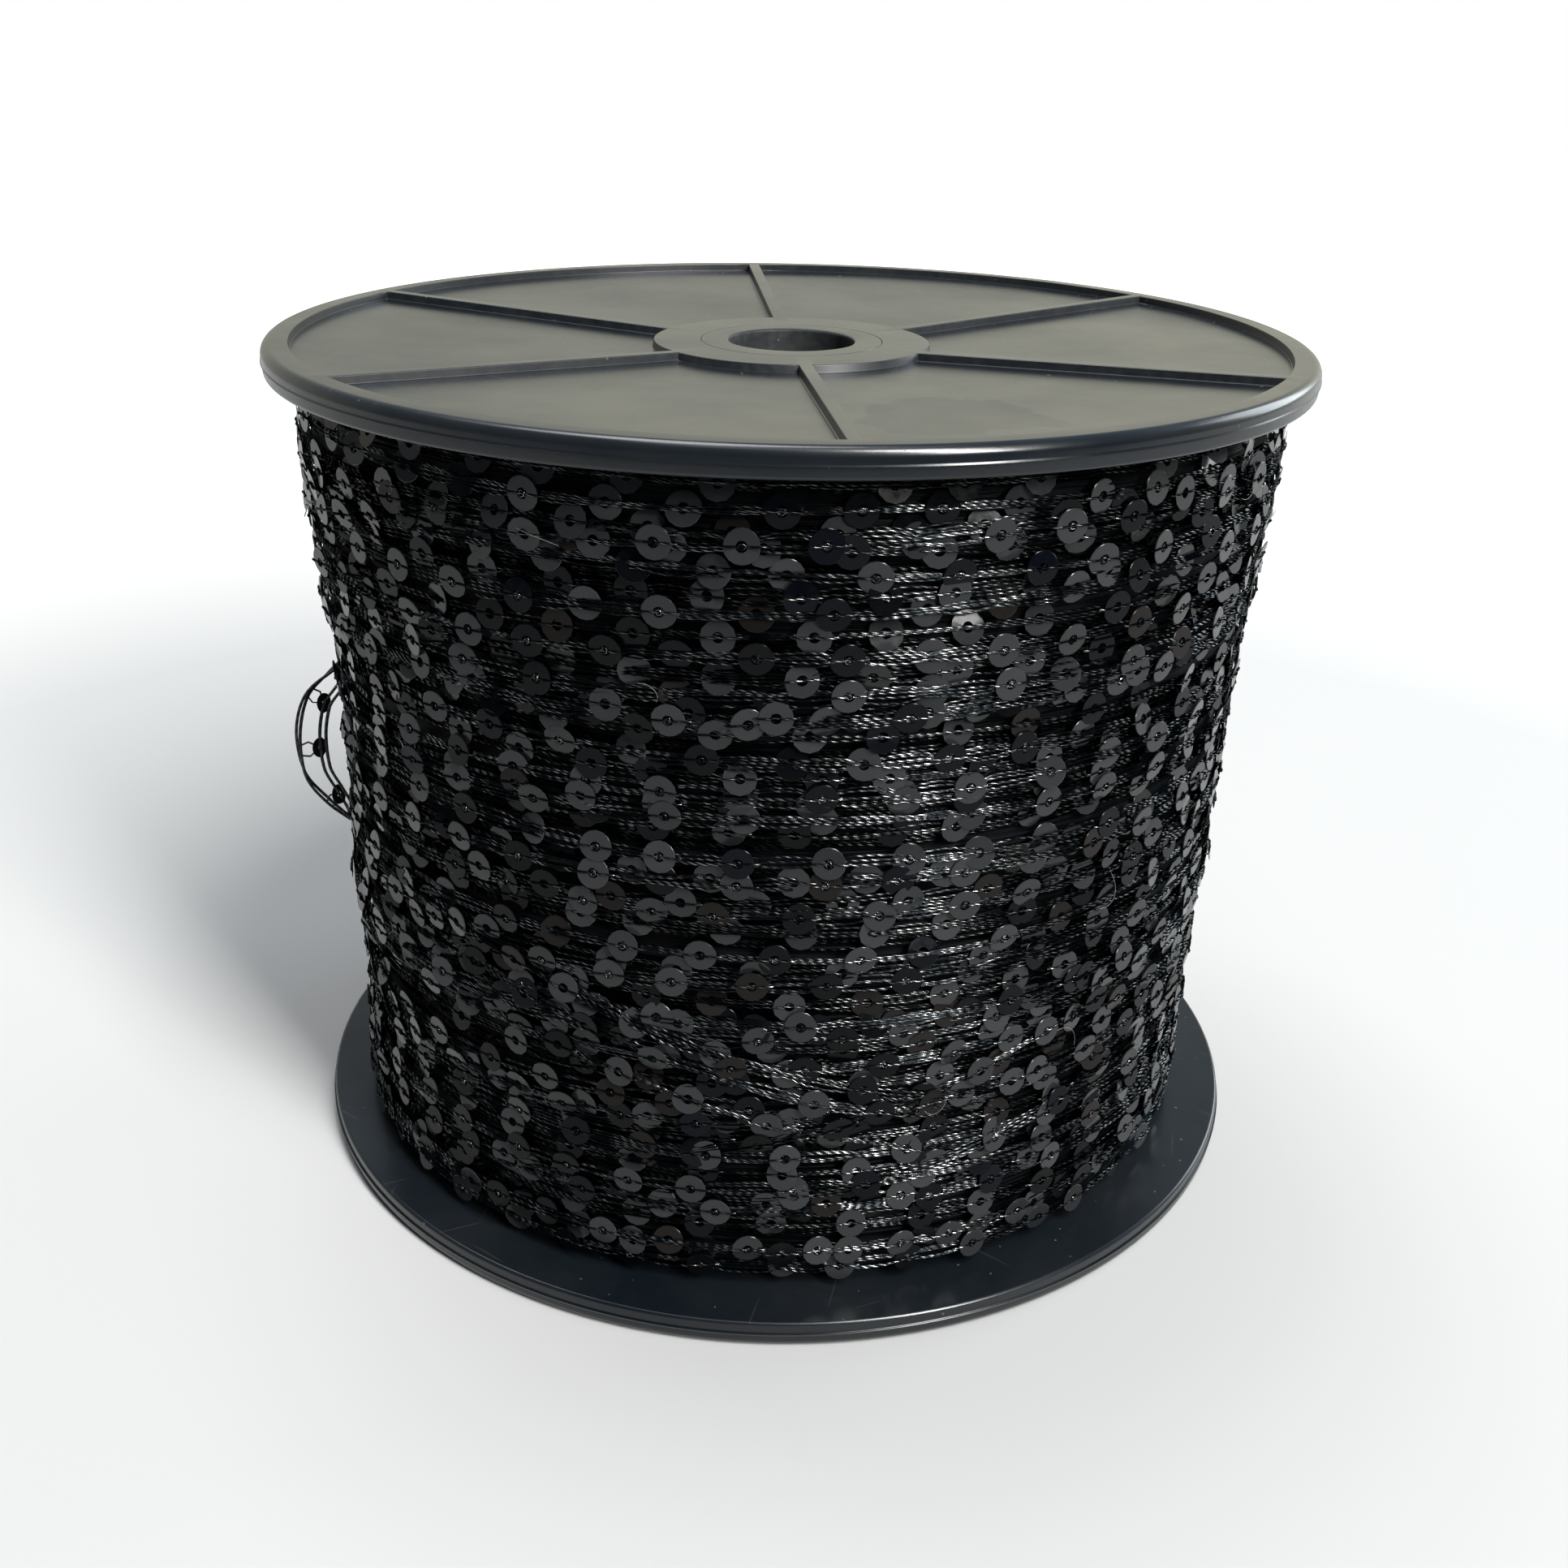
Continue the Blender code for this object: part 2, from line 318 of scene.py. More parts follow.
def turned_ring(profile, steps):
    """A closed ring round Z, spun from a closed outline of (radius, height) points."""
    shape = bmesh.new()
    points = [shape.verts.new((radius, 0.0, height)) for radius, height in profile]
    edges = [shape.edges.new((points[i - 1], points[i])) for i in range(len(points))]
    bmesh.ops.spin(shape, geom=points + edges, cent=(0.0, 0.0, 0.0), axis=(0.0, 0.0, 1.0),
                   angle=FULL_TURN, steps=steps, use_merge=True)
    bmesh.ops.remove_doubles(shape, verts=shape.verts, dist=1e-7)
    bmesh.ops.recalc_face_normals(shape, faces=shape.faces)
    return shape


def keep_flats_flat(piece):
    """Weight the normals by area, so a flat face stays flat beside its rounded edge."""
    weighted = piece.modifiers.new("flat_faces", "WEIGHTED_NORMAL")
    weighted.keep_sharp = True
    weighted.weight = 50


def thread_mesh(paths, thickness, rng, closed=False):
    """One mesh of round threads along paths of equal length, with u in metres along each.

    The paths are an array of threads, points and coordinates. Each thread gets its own start of u,
    so the twists of neighbours don't line up.
    """
    line = bpy.data.curves.new("threads", "CURVE")
    line.dimensions = "3D"
    line.bevel_depth = 0.5 * thickness
    line.bevel_resolution = 0
    line.use_fill_caps = not closed
    count, points = paths.shape[:2]
    homogeneous = np.ones((points, 4))
    for path in paths:
        spline = line.splines.new("POLY")
        spline.points.add(points - 1)
        homogeneous[:, :3] = path
        spline.points.foreach_set("co", homogeneous.ravel())
        spline.use_cyclic_u = closed
        spline.use_smooth = True
    helper = linked("threads", line)
    graph = bpy.context.evaluated_depsgraph_get()
    mesh = bpy.data.meshes.new_from_object(helper.evaluated_get(graph))
    bpy.data.objects.remove(helper, do_unlink=True)
    bpy.data.curves.remove(line)
    steps = np.linalg.norm(np.diff(paths, axis=1), axis=2)
    corners = np.empty(2 * len(mesh.loops), dtype=np.float32)
    layer = mesh.uv_layers[0].data
    layer.foreach_get("uv", corners)
    corners = corners.reshape(count, -1, 2)
    corners[:, :, 0] *= steps.sum(axis=1)[:, None]
    corners[:, :, 0] += rng.uniform(0.0, 1.0, count)[:, None]
    layer.foreach_set("uv", corners.ravel())
    mesh.shade_smooth()
    return mesh


def joined_copies(template, axes, bend, colours):
    """One mesh of many copies of a small quad template, each with its own axes and colour.

    The axes are the copies' centres and their three directions. The bend folds a copy about its own
    first axis, by so much out for each unit across.
    """
    centres, along, across, out = axes
    points = np.array([vert.co for vert in template.verts])
    faces = np.array([[vert.index for vert in face.verts] for face in template.faces])
    template.free()
    lift = points[None, :, 2] - bend[:, None] * np.abs(points[None, :, 1])
    places = (
        centres[:, None]
        + points[None, :, 0, None] * along[:, None]
        + points[None, :, 1, None] * across[:, None]
        + lift[:, :, None] * out[:, None]
    )
    firsts = len(points) * np.arange(len(centres))[:, None, None]
    mesh = bpy.data.meshes.new("copies")
    mesh.from_pydata(places.reshape(-1, 3), [], (faces[None] + firsts).reshape(-1, 4))
    tint = mesh.attributes.new("tint", "FLOAT_COLOR", "POINT")
    tint.data.foreach_set("color", np.repeat(colours, len(points), axis=0).ravel())
    mesh.shade_smooth()
    mesh.set_sharp_from_angle(angle=math.radians(30.0))
    return mesh


def unit(vectors):
    return vectors / np.linalg.norm(vectors, axis=-1, keepdims=True)


# The wound surface that the yarn lies on


class WoundSurface:
    """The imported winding's outer radius at any azimuth and height, read from its own mesh."""

    SECTORS = 144
    LEVELS = 84

    def __init__(self):
        shape = bmesh.new()
        shape.from_mesh(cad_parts["sequin_winding"].data)
        tree = BVHTree.FromBMesh(shape)
        shape.free()
        self.heights = np.linspace(WINDING_FOOT + 1e-5, WINDING_HEAD - 1e-5, self.LEVELS)
        self.table = np.zeros((self.SECTORS + 1, self.LEVELS))
        for sector in range(self.SECTORS + 1):
            turn = FULL_TURN * sector / self.SECTORS
            facing = Vector((math.cos(turn), math.sin(turn), 0.0))
            for level, height in enumerate(self.heights):
                start = facing * 2.0 * REEL_RADIUS + Vector((0.0, 0.0, height))
                place = tree.ray_cast(start, -facing)[0]
                self.table[sector, level] = polar(place)[1]

    def radius(self, azimuth, height):
        """Bilinear look-up for arrays of azimuths and heights."""
        column = np.mod(azimuth, FULL_TURN) / FULL_TURN * self.SECTORS
        low, high = self.heights[0], self.heights[-1]
        row = np.clip((height - low) / (high - low), 0.0, 1.0) * (self.LEVELS - 1)
        i = np.minimum(column.astype(int), self.SECTORS - 1)
        j = np.minimum(row.astype(int), self.LEVELS - 2)
        a = column - i
        b = row - j
        table = self.table
        lower = table[i, j] * (1.0 - a) + table[i + 1, j] * a
        upper = table[i, j + 1] * (1.0 - a) + table[i + 1, j + 1] * a
        return lower * (1.0 - b) + upper * b

    def place(self, azimuth, height, lift):
        radius = self.radius(azimuth, height) + lift
        return np.stack([radius * np.cos(azimuth), radius * np.sin(azimuth), height], axis=-1)


SURFACE = WoundSurface()


class Turns:
    """A laid length of yarn: where its middle runs, and where its sequins hang on it."""

    EDGE_ROOM = 0.0009
    GATHER_REACH = 0.0019

    def __init__(self, azimuth, height, lift, sequins):
        room = self.EDGE_ROOM
        self.azimuth = azimuth
        self.height = np.clip(height, WINDING_FOOT + room, WINDING_HEAD - room)
        self.lift = lift
        self.sequins = sequins

    def at(self, azimuth):
        """Height and lift of the yarn's middle at given azimuths."""
        return (
            np.interp(azimuth, self.azimuth, self.height),
            np.interp(azimuth, self.azimuth, self.lift),
        )

    def narrowing(self):
        """How far the threads draw together at each point: 1 at a sequin, 0 between two."""
        after = np.clip(np.searchsorted(self.sequins, self.azimuth), 1, len(self.sequins) - 1)
        nearest = np.minimum(
            np.abs(self.azimuth - self.sequins[after - 1]),
            np.abs(self.azimuth - self.sequins[after]),
        )
        return np.exp(-(nearest * REEL_RADIUS / self.GATHER_REACH) ** 2)


def wander(azimuth, rng, rates, size):
    """A smooth random sway along the yarn, as a sum of sines."""
    sway = np.zeros_like(azimuth)
    for rate in rates:
        sway += np.sin(rate * azimuth + rng.uniform(0.0, FULL_TURN)) * rng.uniform(0.6, 1.3)
    return size * sway / math.sqrt(len(rates))


def sequin_places(azimuth, height, lift, yarn, rng):
    """Azimuths of a stretch's sequins. They are evenly sewn, so they drift from turn to turn."""
    radius = SURFACE.radius(azimuth, height) + lift
    run = np.concatenate([[0.0], np.cumsum(radius[1:] * np.diff(azimuth))])
    count = int(run[-1] / yarn.sequin_pitch)
    wanted = yarn.sequin_pitch * (np.arange(count) + 0.5 + rng.normal(0.0, 0.07, count))
    return np.interp(wanted, run, azimuth)


def layer_turns(layer, yarn, rng):
    """One layer as a single long helix between the flanges."""
    span = WINDING_HEAD - WINDING_FOOT - 2.0 * Turns.EDGE_ROOM
    turns = round(span / yarn.row_pitch)
    end = FULL_TURN * turns
    azimuth = np.linspace(0.0, end, turns * layer.steps_per_turn + 1)
    low = WINDING_FOOT + Turns.EDGE_ROOM + (layer.phase - 0.25) * yarn.row_pitch
    height = low + span * azimuth / end
    height += wander(azimuth, rng, (0.21, 0.37, 0.71, 1.13, 1.61), 0.00095)
    height += wander(azimuth, rng, (2.73, 4.43, 6.2), 0.00022)
    lift = layer.lift + wander(azimuth, rng, (0.83, 2.31, 5.37, 8.9), 0.00017)
    return Turns(azimuth, height, lift, sequin_places(azimuth, height, lift, yarn, rng))


def crossing_turns(crossing, yarn, rng):
    """One stretch that lies across the outer turns and dips under them at its two ends."""
    start = math.radians(crossing.start)
    sweep = math.radians(crossing.sweep)
    share = np.linspace(0.0, 1.0, int(crossing.sweep / CROSSING_STEP_DEGREES))
    azimuth = start + sweep * share
    height = crossing.low + (crossing.high - crossing.low) * share * share * (3.0 - 2.0 * share)
    lift = LAYERS[-1].lift + 0.00030 - 0.0011 * (2.0 * share - 1.0) ** 6
    places = sequin_places(azimuth, height, lift, yarn, rng)
    return Turns(azimuth, height, lift, places[1:-1])


def bundle_paths(turns, threads, yarn, rng):
    """The middle lines of the threads that lie side by side in one yarn."""
    low, high = WINDING_FOOT + THREAD_ROOM, WINDING_HEAD - THREAD_ROOM
    gather = 1.0 - GATHER_SHARE * turns.narrowing()
    paths = []
    for index in range(threads):
        side = index - 0.5 * (threads - 1)
        sway = wander(turns.azimuth, rng, (0.47, 1.3, 2.9, 4.7), 0.00048)
        sway += wander(turns.azimuth, rng, (7.7, 13.3, 21.0), 0.00006)
        height = np.clip(turns.height + (side * yarn.thread_gap + sway) * gather, low, high)
        lift = turns.lift + wander(turns.azimuth, rng, (4.3, 9.1, 17.0), 0.00005)
        paths.append(SURFACE.place(turns.azimuth, height, lift))
    return np.array(paths)


class Sequins:
    """Places, axes, bends and colours of the sequins on some turns of yarn.

    Some lie before the threads of their turn, and the rest behind them, where most lean back.
    The surface is felt a little ahead of a sequin and beside it, to find how it faces.
    """

    FRONT_SHARE = 0.64
    TUCKED_SHARE = 0.6
    TUCK = math.radians(13.0)
    MOST_TILTS = 1.7
    AHEAD = 0.02
    BESIDE = 0.0015
    KIND_SHARES = (0.60, 0.27, 0.06, 0.07)

    def __init__(self, turns, yarn, rng):
        azimuth = turns.sequins
        count = len(azimuth)
        height, lift = turns.at(azimuth)
        ahead, _ = turns.at(azimuth + self.AHEAD)
        self.front = rng.uniform(0.0, 1.0, count) < self.FRONT_SHARE
        before = 0.5 * yarn.thread + rng.uniform(0.00002, 0.00022, count)
        behind = -0.5 * yarn.thread - rng.uniform(0.00004, 0.00016, count)
        lift = lift + np.where(self.front, before, behind)
        self.centres = SURFACE.place(azimuth, height, lift)
        step = SURFACE.place(azimuth + self.AHEAD, ahead, lift) - self.centres
        above = SURFACE.place(azimuth, height + self.BESIDE, lift)
        below = SURFACE.place(azimuth, height - self.BESIDE, lift)
        along = unit(step)
        out = unit(np.cross(along, unit(above - below)))
        most = self.MOST_TILTS * yarn.tilt
        tucked = ~self.front & (rng.uniform(0.0, 1.0, count) < self.TUCKED_SHARE)
        nod = np.clip(rng.normal(0.0, yarn.tilt, count), -most, most)
        nod = (nod + np.where(tucked, self.TUCK, 0.0))[:, None]
        turn = np.clip(rng.normal(0.0, 0.75 * yarn.tilt, count), -most, most)[:, None]
        along = unit(along + np.tan(turn) * out)
        out = unit(out - np.tan(turn) * along)
        across = np.cross(out, along)
        self.out = unit(out + np.tan(nod) * across)
        self.across = np.cross(self.out, along)
        self.along = along
        self.bend = np.clip(rng.normal(0.03, 0.05, count), -0.06, 0.16)
        # Apart from the glossy black ones, the sequins' tints are painted reflections: dark, brown
        # and navy in their colour.
        kinds = rng.choice(4, count, p=self.KIND_SHARES)
        self.glossy = kinds == 0
        tints = np.array([yarn.sequin_black, yarn.sequin_dark_reflection, yarn.sequin_brown_reflection, yarn.sequin_navy_reflection])
        shade = rng.uniform(0.8, 1.25, count)[:, None]
        self.colours = np.concatenate([tints[kinds] * shade, np.ones((count, 1))], axis=1)

    def axes(self, picked):
        """The centres of some of the sequins and their three directions."""
        return self.centres[picked], self.along[picked], self.across[picked], self.out[picked]


def sequin_template(yarn, sides, chamfered, diameter=None):
    """A flat ring, lying in its own XY plane with Z out of its face."""
    outer = 0.5 * (diameter or yarn.sequin)
    hole = 0.5 * yarn.sequin_hole * outer / (0.5 * yarn.sequin)
    half = 0.5 * yarn.sequin_thickness
    rim = [(outer, half)]
    if chamfered:
        rim = [(outer, 0.0), (outer - 1.3 * half, half)]
    return turned_ring([(hole, -half), (outer, -half), *rim, (hole, half)], sides)


# Materials


class Nodes:
    """A node tree, with one short call for each node and its links."""

    def __init__(self, tree):
        self.nodes = tree.nodes
        self.links = tree.links

    def node(self, kind, settings=None, **inputs):
        """Add a node, set its own values, and set or link its inputs by name or number."""
        made = self.nodes.new(f"ShaderNode{kind}")
        for key, value in (settings or {}).items():
            setattr(made, key, value)
        for key, value in inputs.items():
            name = int(key[1:]) if key[1:].isdigit() else key.replace("_", " ")
            self.feed(made.inputs[name], value)
        return made

    def feed(self, socket, value):
        if isinstance(value, bpy.types.NodeSocket):
            self.links.new(value, socket)
        else:
            socket.default_value = value

    def math(self, operation, a, b=0.0):
        return self.node("Math", {"operation": operation}, _0=a, _1=b).outputs[0]

    def plus(self, a, b):
        return self.math("ADD", a, b)

    def times(self, a, b):
        return self.math("MULTIPLY", a, b)

    def ramp(self, value, low, high, out_low=0.0, out_high=1.0, kind="LINEAR"):
        """Map one range of a value onto another, and clamp it."""
        made = self.node("MapRange", {"interpolation_type": kind}, Value=value, From_Min=low,
                         From_Max=high, To_Min=out_low, To_Max=out_high)
        return made.outputs["Result"]

    def mix(self, share, low, high):
        """Blend two colours."""
        made = self.node("Mix", {"data_type": "RGBA"}, Factor=share, _6=low, _7=high)
        return made.outputs[2]


class Shading(Nodes):
    """A material's node tree, with its object coordinates and its surface shader."""

    def __init__(self, name):
        self.material = bpy.data.materials.new(name)
        self.material.use_nodes = True
        super().__init__(self.material.node_tree)
        self.surface = self.nodes["Principled BSDF"]
        self.place = self.node("TexCoord").outputs["Object"]

    def noise(self, scale, detail=3.0, rough=0.5, vector=None):
        made = self.node("TexNoise", Vector=vector or self.place, Scale=scale, Detail=detail,
                         Roughness=rough)
        return made.outputs["Fac"]

    def uv(self):
        """The distance along a thread in metres, and the share of the way round it."""
        parts = self.node("SeparateXYZ", Vector=self.node("TexCoord").outputs["UV"]).outputs
        return parts["X"], parts["Y"]

    def ply(self, lay, round_it, strands):
        """A wave from -1 to 1 over the strands that are twisted into a thread."""
        turned = self.times(round_it, strands * FULL_TURN)
        return self.math("COSINE", self.math("SUBTRACT", lay, turned))

    def bump(self, height, distance, under=None):
        made = self.node("Bump", Height=height, Distance=distance)
        if under is not None:
            self.feed(made.inputs["Normal"], under)
        return made.outputs["Normal"]

    def finish(self, **values):
        """Set or link the surface shader's inputs, and give back the material."""
        for key, value in values.items():
            self.feed(self.surface.inputs[key.replace("_", " ")], value)
        return self.material


def opaque(rgb):
    return (*rgb, 1.0)


def reel_plastic(reel):
    """Glossy black moulded plastic with dust, short scratches, wiped smears and a dried drop; the
    dust film is doubled in the bore, where it paints in light that falls into it.
    """
    look = Shading("reel_plastic")
    smear = look.noise(34.0, 4.0, 0.6)
    fine = look.noise(900.0, 2.0)
    cells = look.node("TexVoronoi", {"feature": "F1"}, Vector=look.place, Scale=420.0)
    speck_size = look.math("SUBTRACT", look.times(look.noise(210.0, 1.0), 0.20), 0.045)
    specks = look.math("LESS_THAN", cells.outputs["Distance"], speck_size)
    strokes = []
    for turn, stretch in ((0.4, 30.0), (1.35, 44.0), (2.5, 26.0)):
        lie = look.node("Mapping", {"vector_type": "TEXTURE"}, Vector=look.place,
                        Rotation=(0.0, 0.0, turn), Scale=(0.05, 0.05 / stretch, 0.03))
        stroke = look.noise(2.2, 1.0, vector=lie.outputs["Vector"])
        strokes.append(look.ramp(stroke, 0.755, 0.78))
    scratches = look.math("MAXIMUM", look.math("MAXIMUM", strokes[0], strokes[1]), strokes[2])
    outward = look.node("NewGeometry").outputs["Normal"]
    facing = look.node("SeparateXYZ", Vector=outward).outputs["Z"]
    scratches = look.times(scratches, look.ramp(look.math("ABSOLUTE", facing), 0.6, 0.8))
    drop = look.node("VectorMath", {"operation": "DISTANCE"}, _0=look.place,
                     _1=(0.017, -0.044, REEL_HEIGHT)).outputs["Value"]
    ripple = look.plus(drop, look.times(look.noise(95.0), 0.019))
    ring = look.ramp(look.math("ABSOLUTE", look.math("SUBTRACT", ripple, 0.0200)), 0.0009, 0.0002)
    wall = look.node("Attribute", {"attribute_name": "wall"}).outputs["Fac"]
    # Dust on the pocket walls; in the bore, marked twice as strong, this paler film is painted
    # light from above.
    wall_dust_and_bore_light = look.times(wall, look.ramp(fine, 0.3, 0.7, 0.0, 0.025))
    film = look.times(look.ramp(smear, 0.35, 0.75), 0.02)
    for layer, share in ((ring, 0.022), (scratches, 0.03), (specks, 0.18)):
        film = look.plus(film, look.times(layer, share))
    film = look.plus(film, wall_dust_and_bore_light)
    shade = look.mix(film, opaque(reel.plastic), opaque(reel.dust))
    rough = look.ramp(smear, 0.3, 0.7, reel.roughness - 0.03, reel.roughness + 0.06)
    rough = look.plus(rough, look.times(film, 0.9))
    rough = look.plus(rough, look.times(wall, 0.18))
    rough = look.plus(rough, look.ramp(ripple, 0.0201, 0.0193, 0.0, 0.035))
    wave = look.bump(look.noise(60.0, 1.0), 0.00003)
    grain = look.bump(look.plus(look.times(fine, 0.25), specks), 0.000026, wave)
    return look.finish(Base_Color=shade, Roughness=rough, IOR=1.45, Normal=grain)


def twisted_thread(name, yarn, gloss_and_shade=1.0):
    """Black filament thread that glints where its twist turns the filaments to the light.

    The twist runs along the UV's u, in metres, and once round its v. The gloss is spread across the
    filaments and narrow along them. The factor after the yarn darkens the whole copy: painted shade
    for the deeper layers, and a dimmer gloss for the crossing yarn.
    """
    look = Shading(name)
    along, round_it = look.uv()
    loose = look.times(look.noise(130.0, 2.0), 6.0)
    ply = look.ply(look.plus(look.times(along, FULL_TURN / yarn.ply_pitch), loose), round_it, 2.0)
    worn = look.ramp(look.noise(420.0, 2.0), 0.43, 0.60)
    crest = look.times(look.ramp(ply, 0.0, 0.8), worn)
    # A factor below 1 darkens this copy: painted shade on the deeper layers.
    bright = [gloss_and_shade * part for part in yarn.black]
    dark = (0.040 * bright[0], 0.046 * bright[1], 0.052 * bright[2])
    shade = look.mix(crest, opaque(dark), opaque(bright))
    rough = look.ramp(crest, 0.0, 1.0, THREAD_GLOSS + 0.14, THREAD_GLOSS)
    fibre_way = look.node("Tangent", {"direction_type": "UV_MAP", "uv_map": "UVMap"}).outputs[0]
    return look.finish(
        Base_Color=shade, Roughness=rough, Metallic=1.0, Anisotropic=1.0, Anisotropic_Rotation=0.25,
        Specular_Tint=(0.31, 0.325, 0.335, 1.0), Tangent=fibre_way, Normal=look.bump(ply, 0.000020),
    )


def sequin_film(name, ior):
    """Glossy punched film: its colour from the tint, with faint grain, scuffs and a slight wave."""
    look = Shading(name)
    tint = look.node("Attribute", {"attribute_name": "tint"}).outputs["Color"]
    rough = look.ramp(look.noise(620.0, 3.0, 0.7), 0.35, 0.8, 0.13, 0.30)
    wave = look.bump(look.noise(330.0, 1.0), 0.000022)
    grain = look.bump(look.noise(5200.0, 2.0), 0.0000016, wave)
    return look.finish(Base_Color=tint, Roughness=rough, IOR=ior, Normal=grain)


def glossy_and_dull(name):
    """Films for the glossy sequins, and for the others, whose tints are painted reflections and
    which reflect less.
    """
    return sequin_film(f"{name}_gloss", GLOSSY_IOR), sequin_film(f"{name}_dull", DULL_IOR)


def slack_thread(yarn):
    """The loop's slack thread: frayed, grey against the light, with its ply still showing."""
    look = Shading("slack_thread")
    along, round_it = look.uv()
    ply = look.ply(look.times(along, FULL_TURN / yarn.ply_pitch), round_it, 1.0)
    deep = [0.25 * part for part in yarn.loop_grey]
    worn = look.times(look.ramp(ply, -0.8, 0.6), look.ramp(look.noise(700.0), 0.3, 0.6, 0.3))
    shade = look.mix(worn, opaque(deep), opaque(yarn.loop_grey))
    return look.finish(Base_Color=shade, Roughness=0.6, Normal=look.bump(ply, 0.000025))


def dark_winding():
    """The yarn under the modelled turns: nearly black as painted shade of the deep yarn, with fine
    turns raised in it and paler lines along them as painted sheen.
    """
    look = Shading("inner_yarn")
    lie = look.node("Mapping", Vector=look.place, Scale=(60.0, 60.0, 2600.0)).outputs["Vector"]
    turns = look.noise(1.0, 2.0, vector=lie)
    # Paler lines along the fine turns are painted sheen; the near-black between them is painted
    # shade.
    line = look.ramp(turns, 0.46, 0.62)
    shade = look.mix(line, (0.0003, 0.0004, 0.0006, 1.0), (0.0036, 0.0046, 0.0060, 1.0))
    return look.finish(Base_Color=shade, Roughness=0.5, IOR=1.15, Normal=look.bump(turns, 0.0003))


def pale_lint(yarn):
    """Fibres that catch the light, uneven in their paleness."""
    look = Shading("lint")
    shade = look.mix(look.noise(400.0), (0.08, 0.08, 0.09, 1.0), opaque(yarn.lint))
    return look.finish(Base_Color=shade, Roughness=0.4)


def floor_finish(studio):
    """A pale floor that fades into the white surround before the camera sees its edge."""
    look = Shading("floor")
    low = [0.985 * part for part in studio.floor]
    shade = look.mix(look.noise(3.0), opaque(low), opaque(studio.floor))
    reach = look.node("VectorMath", {"operation": "LENGTH"}, _0=look.place).outputs["Value"]
    seen = look.node("LightPath").outputs["Is Camera Ray"]
    glow = look.times(look.ramp(reach, 0.22, 0.75), seen)
    return look.finish(Base_Color=shade, Roughness=0.75, Emission_Color=(1.0, 1.0, 1.0, 1.0),
                       Emission_Strength=glow)


# Reel


def flange_profile(reel):
    """The flange's outline with its outer face up and its rim's inner face at height 0."""
    outer = REEL_RADIUS
    lip = outer - reel.lip_inset
    band = outer - reel.seam
    rim_inner = outer - reel.rim_land
    hole = CORE_RADIUS + reel.hole_gap
    quarter = [0.5 * math.pi * step / ROUNDING_STEPS for step in range(ROUNDING_STEPS + 1)]
    low_corner = [
        (lip - reel.lip_rounding * (1.0 - math.sin(turn)),
         reel.lip_rounding * (1.0 - math.cos(turn)))
        for turn in quarter
    ]
    high_corner = [
        (band - reel.rim_rounding * (1.0 - math.cos(turn)),
         reel.rim_height - reel.rim_rounding * (1.0 - math.sin(turn)))
        for turn in quarter
    ]
    seam_top = reel.lip_height + 2.2 * reel.seam
    return [
        (hole, -reel.dish),
        (reel.boss_radius, -reel.dish),
        (rim_inner, 0.0),
        *low_corner,
        (lip, reel.lip_height - 0.3 * reel.seam),
        (lip + 0.3 * reel.seam, reel.lip_height),
        (outer - 0.35 * reel.seam, reel.lip_height),
        (outer, reel.lip_height + 0.35 * reel.seam),
        (outer - 0.25 * reel.seam, reel.lip_height + 1.1 * reel.seam),
        (band + 0.15 * reel.seam, seam_top),
        (band, seam_top + 0.6 * reel.seam),
        *high_corner,
        (rim_inner, reel.rim_height),
        (reel.boss_radius, reel.rim_height - reel.dish),
        (hole + 0.4 * reel.edge_softness, reel.rim_height - reel.dish),
        (hole, reel.rim_height - reel.dish - 0.4 * reel.edge_softness),
    ]


def align_to_ribs(shape, reel):
    """Turn the even columns of the spun flange so that each rib has parallel sides."""
    sector = FULL_TURN / RIB_COUNT
    column = sector / COLUMNS_PER_SECTOR
    for vert in shape.verts:
        azimuth, radius = polar(vert.co)
        index = round(azimuth / column) % (RIB_COUNT * COLUMNS_PER_SECTOR)
        rib, step = divmod(index, COLUMNS_PER_SECTOR)
        reach = min(max(radius, reel.boss_radius), REEL_RADIUS - reel.rim_land)
        half_rib = math.asin(0.5 * reel.rib_width / reach)
        share = step / (COLUMNS_PER_SECTOR - 1)
        turn = reel.front_rib + rib * sector + half_rib + (sector - 2.0 * half_rib) * share
        vert.co.x = radius * math.cos(turn)
        vert.co.y = radius * math.sin(turn)


def pocket_faces(shape, reel):
    """The faces of the outer plate that lie between two ribs, the boss and the rim."""
    inner, outer = reel.boss_radius, REEL_RADIUS - reel.rim_land
    found = []
    for face in shape.faces:
        reaches = [polar(vert.co)[1] for vert in face.verts]
        spans_plate = max(reaches) > outer - 1e-5 and min(reaches) < inner + 1e-5
        if not spans_plate or face.normal.z < 0.5:
            continue
        azimuth, _ = polar(face.calc_center_median())
        turn = (azimuth - reel.front_rib) % (FULL_TURN / RIB_COUNT)
        if min(turn, FULL_TURN / RIB_COUNT - turn) > math.radians(0.3):
            found.append(face)
    return found


def mark_pocket_walls(shape, reel):
    """Mark the steep faces of the pockets, which hold dust and aren't polished."""
    wall = shape.faces.layers.float.new("wall")
    shape.normal_update()
    for face in shape.faces:
        middle = face.calc_center_median()
        inside = polar(middle)[1] < REEL_RADIUS - reel.rim_land + 0.0004
        steep = abs(face.normal.z) < 0.9 and middle.z > 0.3 * reel.rim_height
        face[wall] = float(inside and steep)


